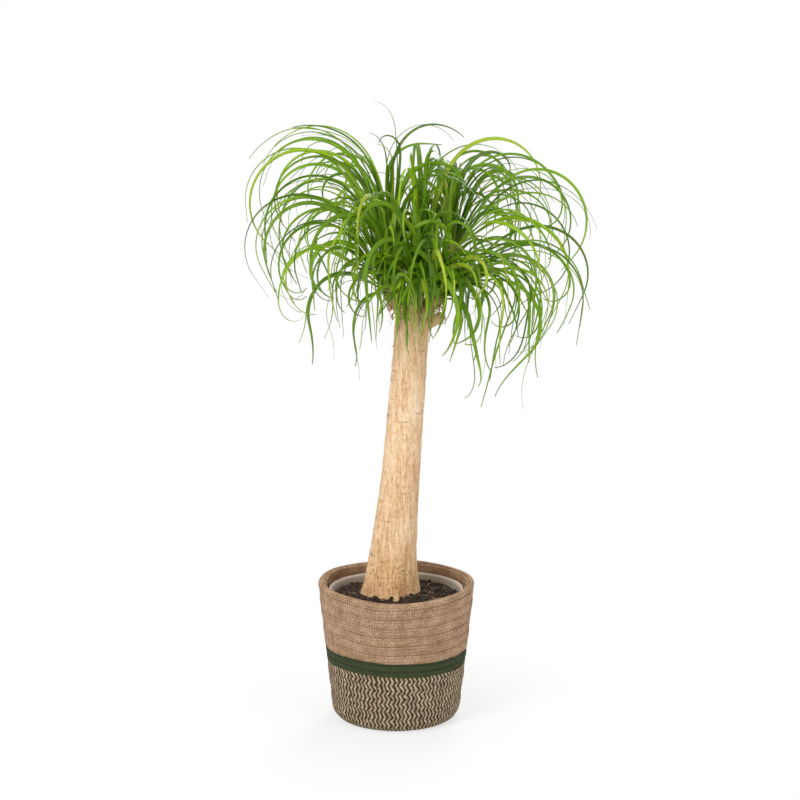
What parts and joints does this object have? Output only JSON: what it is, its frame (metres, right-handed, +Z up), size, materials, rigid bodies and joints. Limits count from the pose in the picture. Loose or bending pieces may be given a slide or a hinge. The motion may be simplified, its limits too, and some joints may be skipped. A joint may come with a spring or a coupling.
{
  "type": "potted ponytail palm",
  "caption": "Ponytail palm with a bare woody stem and a crown of arching ribbon leaves, in a plastic pot inside a braided round basket.",
  "frame": {"origin": "middle of the basket's flat underside, where it rests on the floor", "axes": "+Z up the stem, +X the side the stem leans to, -Y the front"},
  "size_m": [0.5, 0.4358, 0.8735],
  "materials": {
    "basket_braid": "matte",
    "pot_plastic": "satin",
    "potting_soil": "matte",
    "bark": "matte",
    "leaf": "satin"
  },
  "bodies": {
    "root": {"basket": "basket_braid", "nursery_pot": "pot_plastic", "soil": "potting_soil", "trunk": "bark", "leaf_01": "leaf", "leaf_02": "leaf", "leaf_03": "leaf", "leaf_04": "leaf", "leaf_05": "leaf", "leaf_06": "leaf", "leaf_07": "leaf", "leaf_08": "leaf", "leaf_09": "leaf", "leaf_10": "leaf", "leaf_11": "leaf", "leaf_12": "leaf", "leaf_13": "leaf", "leaf_14": "leaf", "leaf_15": "leaf", "leaf_16": "leaf", "leaf_17": "leaf", "leaf_18": "leaf", "leaf_19": "leaf", "leaf_20": "leaf", "leaf_21": "leaf", "leaf_22": "leaf", "leaf_23": "leaf", "leaf_24": "leaf", "leaf_25": "leaf", "leaf_26": "leaf", "leaf_27": "leaf", "leaf_28": "leaf", "leaf_29": "leaf", "leaf_30": "leaf", "leaf_31": "leaf", "leaf_32": "leaf", "leaf_33": "leaf", "leaf_34": "leaf", "leaf_35": "leaf", "leaf_36": "leaf", "leaf_37": "leaf", "leaf_38": "leaf", "leaf_39": "leaf", "leaf_40": "leaf", "leaf_41": "leaf", "leaf_42": "leaf", "leaf_43": "leaf", "leaf_44": "leaf", "leaf_45": "leaf", "leaf_46": "leaf", "leaf_47": "leaf", "leaf_48": "leaf", "leaf_49": "leaf", "leaf_50": "leaf", "leaf_51": "leaf", "leaf_52": "leaf", "leaf_53": "leaf", "leaf_54": "leaf", "leaf_55": "leaf"}
  },
  "joints": []
}
